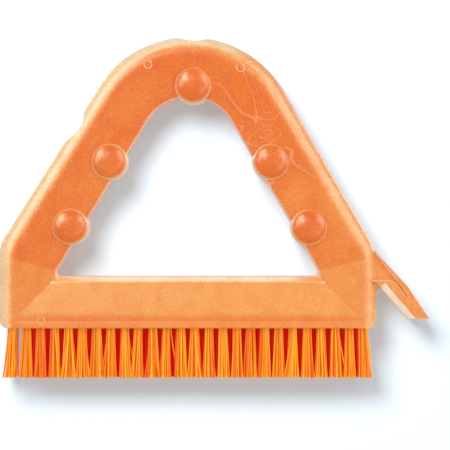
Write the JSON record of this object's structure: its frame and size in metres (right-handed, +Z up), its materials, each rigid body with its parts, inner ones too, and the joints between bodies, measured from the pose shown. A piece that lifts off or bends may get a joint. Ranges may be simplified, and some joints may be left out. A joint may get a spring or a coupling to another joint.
{
  "type": "grout brush",
  "caption": "Hand-held grout brush: a triangular loop handle with finger bumps, pole sockets and a corner scraper, over a narrow base of stiff bristle tufts.",
  "frame": {"origin": "on the trim plane under the bristle tips, below the middle of the overall length and thickness", "axes": "+X along the rows of bristles towards the scraper, +Y through the thickness away from the viewer, +Z up from the bristle tips to the crown of the handle"},
  "size_m": [0.2486, 0.0356, 0.1967],
  "materials": {
    "handle": "fine moulded grain, soft sheen",
    "bristles": "extruded filament, slightly glossy",
    "staples": "drawn flat wire"
  },
  "bodies": {
    "root": {"handle_block": "handle", "front_row_staples": "staples", "middle_row_staples": "staples", "back_row_staples": "staples", "outer_tufts_1": "bristles", "outer_tufts_2": "bristles", "outer_tufts_3": "bristles", "outer_tufts_4": "bristles", "outer_tufts_5": "bristles", "outer_tufts_6": "bristles", "outer_tufts_7": "bristles", "outer_tufts_8": "bristles", "outer_tufts_9": "bristles", "outer_tufts_10": "bristles", "outer_tufts_11": "bristles", "outer_tufts_12": "bristles", "outer_tufts_13": "bristles", "outer_tufts_14": "bristles", "outer_tufts_15": "bristles", "outer_tufts_16": "bristles", "outer_tufts_17": "bristles", "outer_tufts_18": "bristles", "outer_tufts_19": "bristles", "outer_tufts_20": "bristles", "outer_tufts_21": "bristles", "outer_tufts_22": "bristles", "outer_tufts_23": "bristles", "outer_tufts_24": "bristles", "outer_tufts_25": "bristles", "outer_tufts_26": "bristles", "middle_tuft_1": "bristles", "middle_tuft_2": "bristles", "middle_tuft_3": "bristles", "middle_tuft_4": "bristles", "middle_tuft_5": "bristles", "middle_tuft_6": "bristles", "middle_tuft_7": "bristles", "middle_tuft_8": "bristles", "middle_tuft_9": "bristles", "middle_tuft_10": "bristles", "middle_tuft_11": "bristles", "middle_tuft_12": "bristles", "middle_tuft_13": "bristles", "middle_tuft_14": "bristles", "middle_tuft_15": "bristles", "middle_tuft_16": "bristles", "middle_tuft_17": "bristles", "middle_tuft_18": "bristles", "middle_tuft_19": "bristles", "middle_tuft_20": "bristles", "middle_tuft_21": "bristles", "middle_tuft_22": "bristles", "middle_tuft_23": "bristles", "middle_tuft_24": "bristles"}
  },
  "joints": []
}
